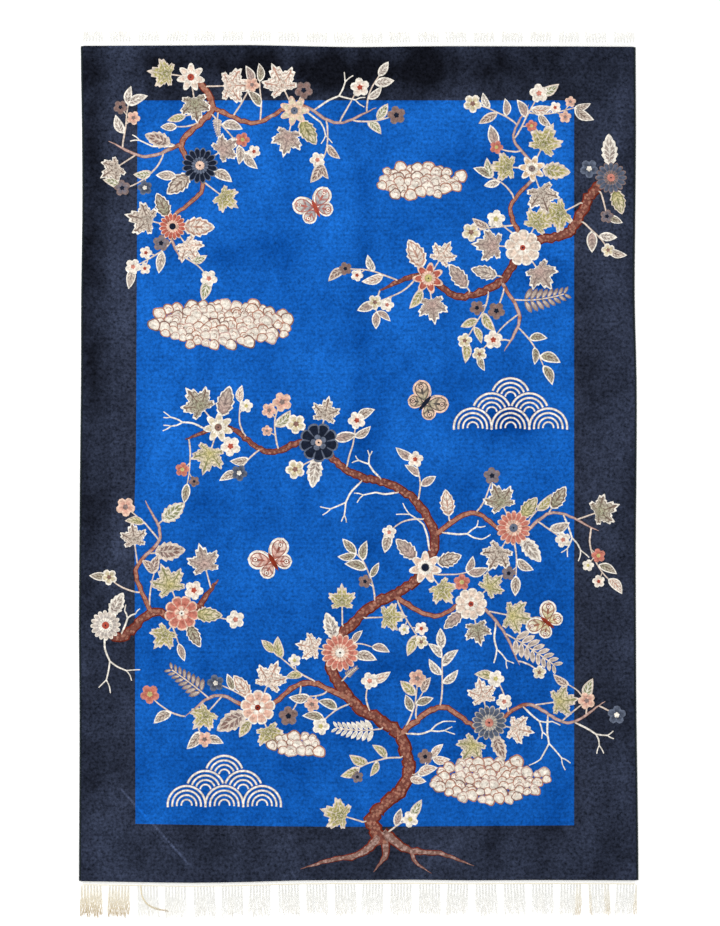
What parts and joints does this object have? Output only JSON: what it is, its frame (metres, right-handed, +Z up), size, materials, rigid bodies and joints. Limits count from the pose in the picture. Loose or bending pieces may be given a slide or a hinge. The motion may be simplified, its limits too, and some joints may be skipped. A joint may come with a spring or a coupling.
{
  "type": "chinese art deco rug",
  "caption": "Hand-knotted wool pile rug with a dark border round a royal blue field, overcast side cords and a cotton warp fringe at each end, lying flat.",
  "frame": {"origin": "on the floor, under the middle of the whole rug with its fringes", "axes": "+Z up; +Y along the rug's length, from the long-fringed end to the short-fringed end; +X to the right seen from above"},
  "size_m": [1.8402, 2.928, 0.012],
  "materials": {
    "wool_pile": "dyed wool pile, soft sheen",
    "overcast_wool": "overcast wool yarn, matt",
    "cotton_warp": "natural cotton yarn, matt"
  },
  "bodies": {
    "root": {"rug_body": "wool_pile", "side_cord_left": "overcast_wool", "side_cord_right": "overcast_wool", "fringe_bottom": "cotton_warp", "fringe_top": "cotton_warp"}
  },
  "joints": []
}
